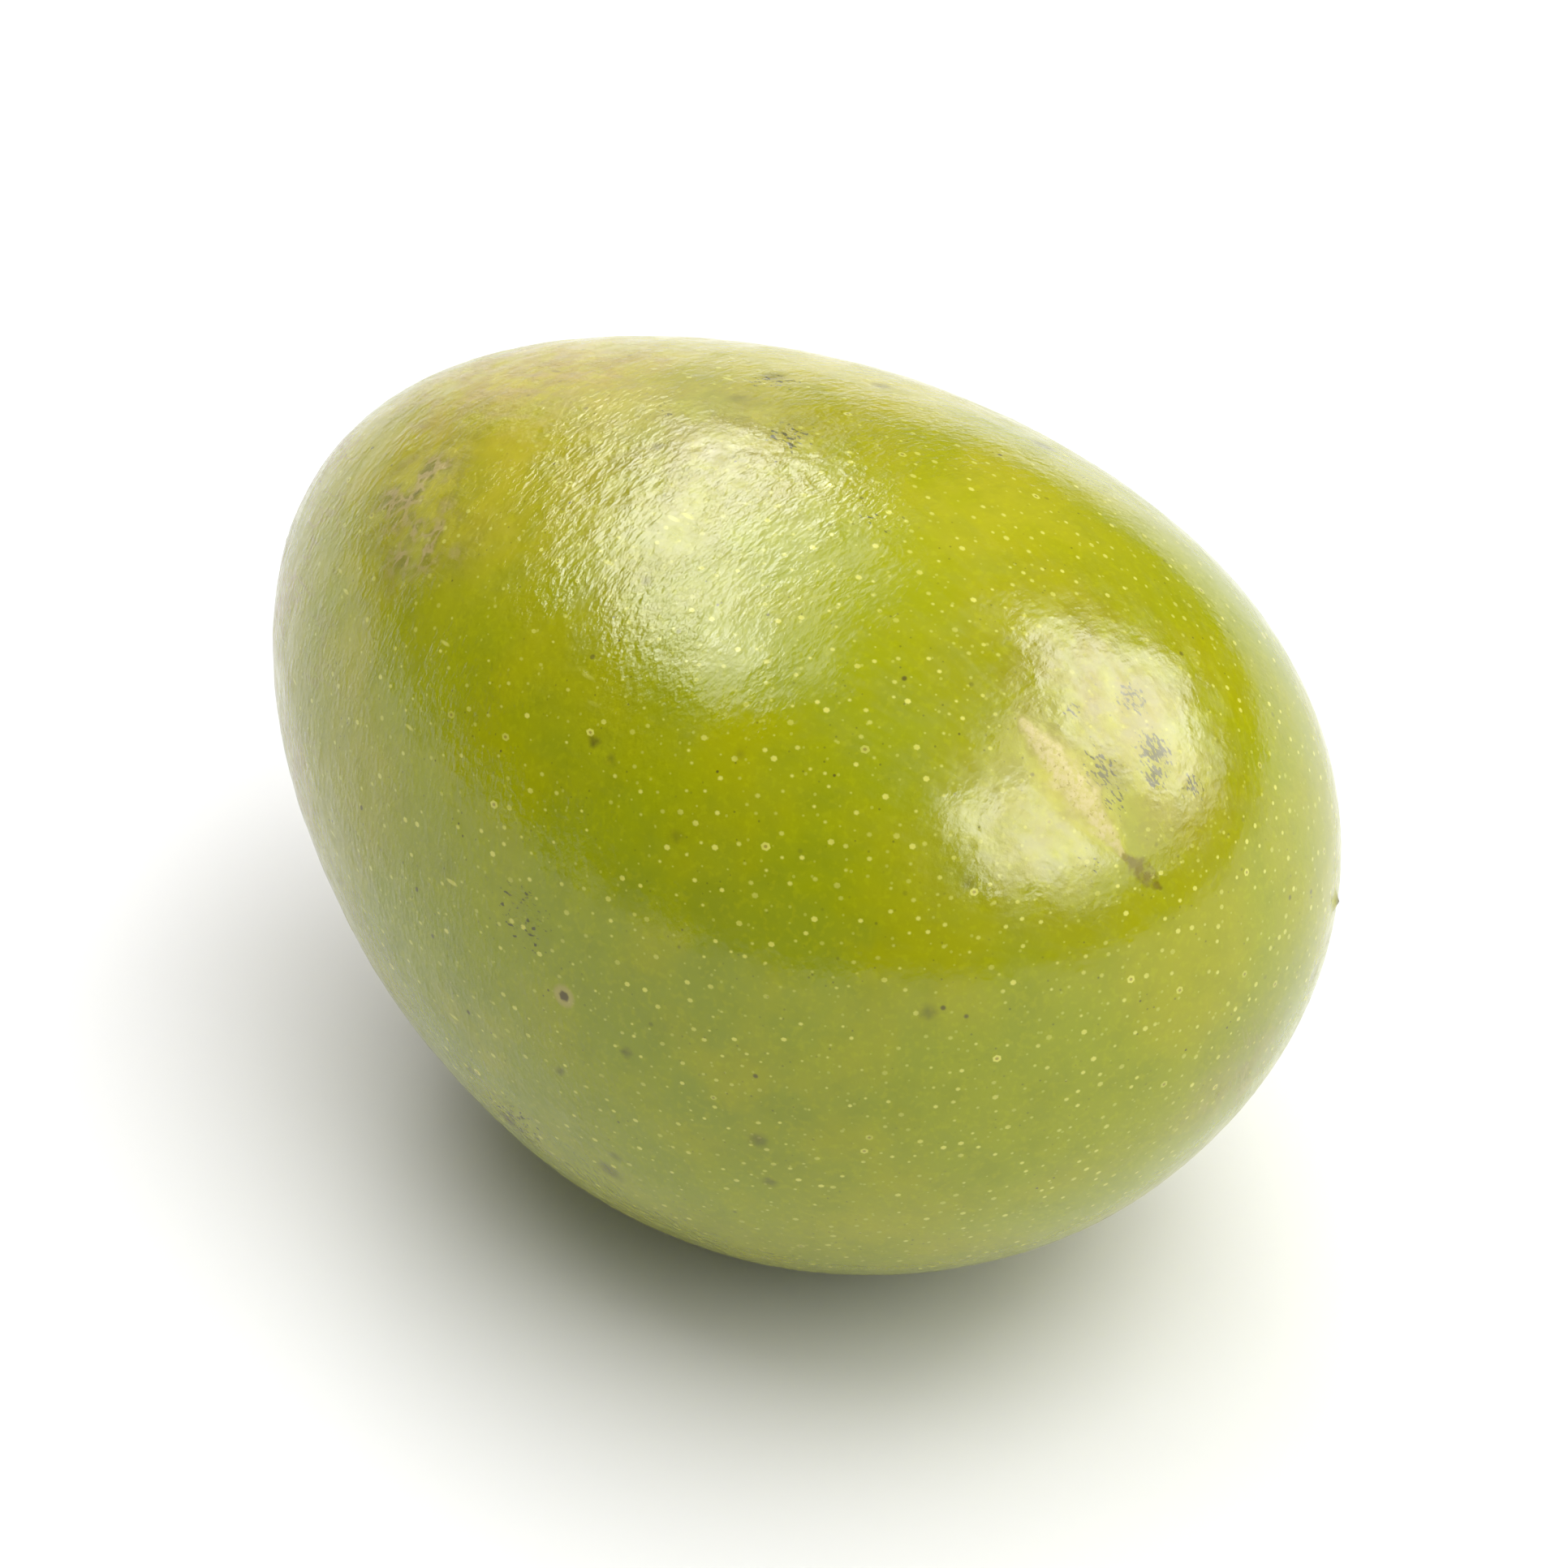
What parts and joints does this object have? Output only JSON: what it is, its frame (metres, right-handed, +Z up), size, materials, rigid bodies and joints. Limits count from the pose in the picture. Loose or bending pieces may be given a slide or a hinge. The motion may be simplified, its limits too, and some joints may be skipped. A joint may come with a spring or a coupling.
{
  "type": "ambarella",
  "caption": "Whole ambarella, a smooth green oval fruit lying on its side, with a corky stem scar at one end.",
  "frame": {"origin": "middle of the small flat spot that the fruit rests on", "axes": "+X from the stem scar towards the apex, +Z up, so the flat spot's outward normal is -Z"},
  "size_m": [0.0782, 0.0568, 0.0575],
  "materials": {
    "skin": null
  },
  "bodies": {
    "root": {"ambarella_fruit": "skin"}
  },
  "joints": []
}
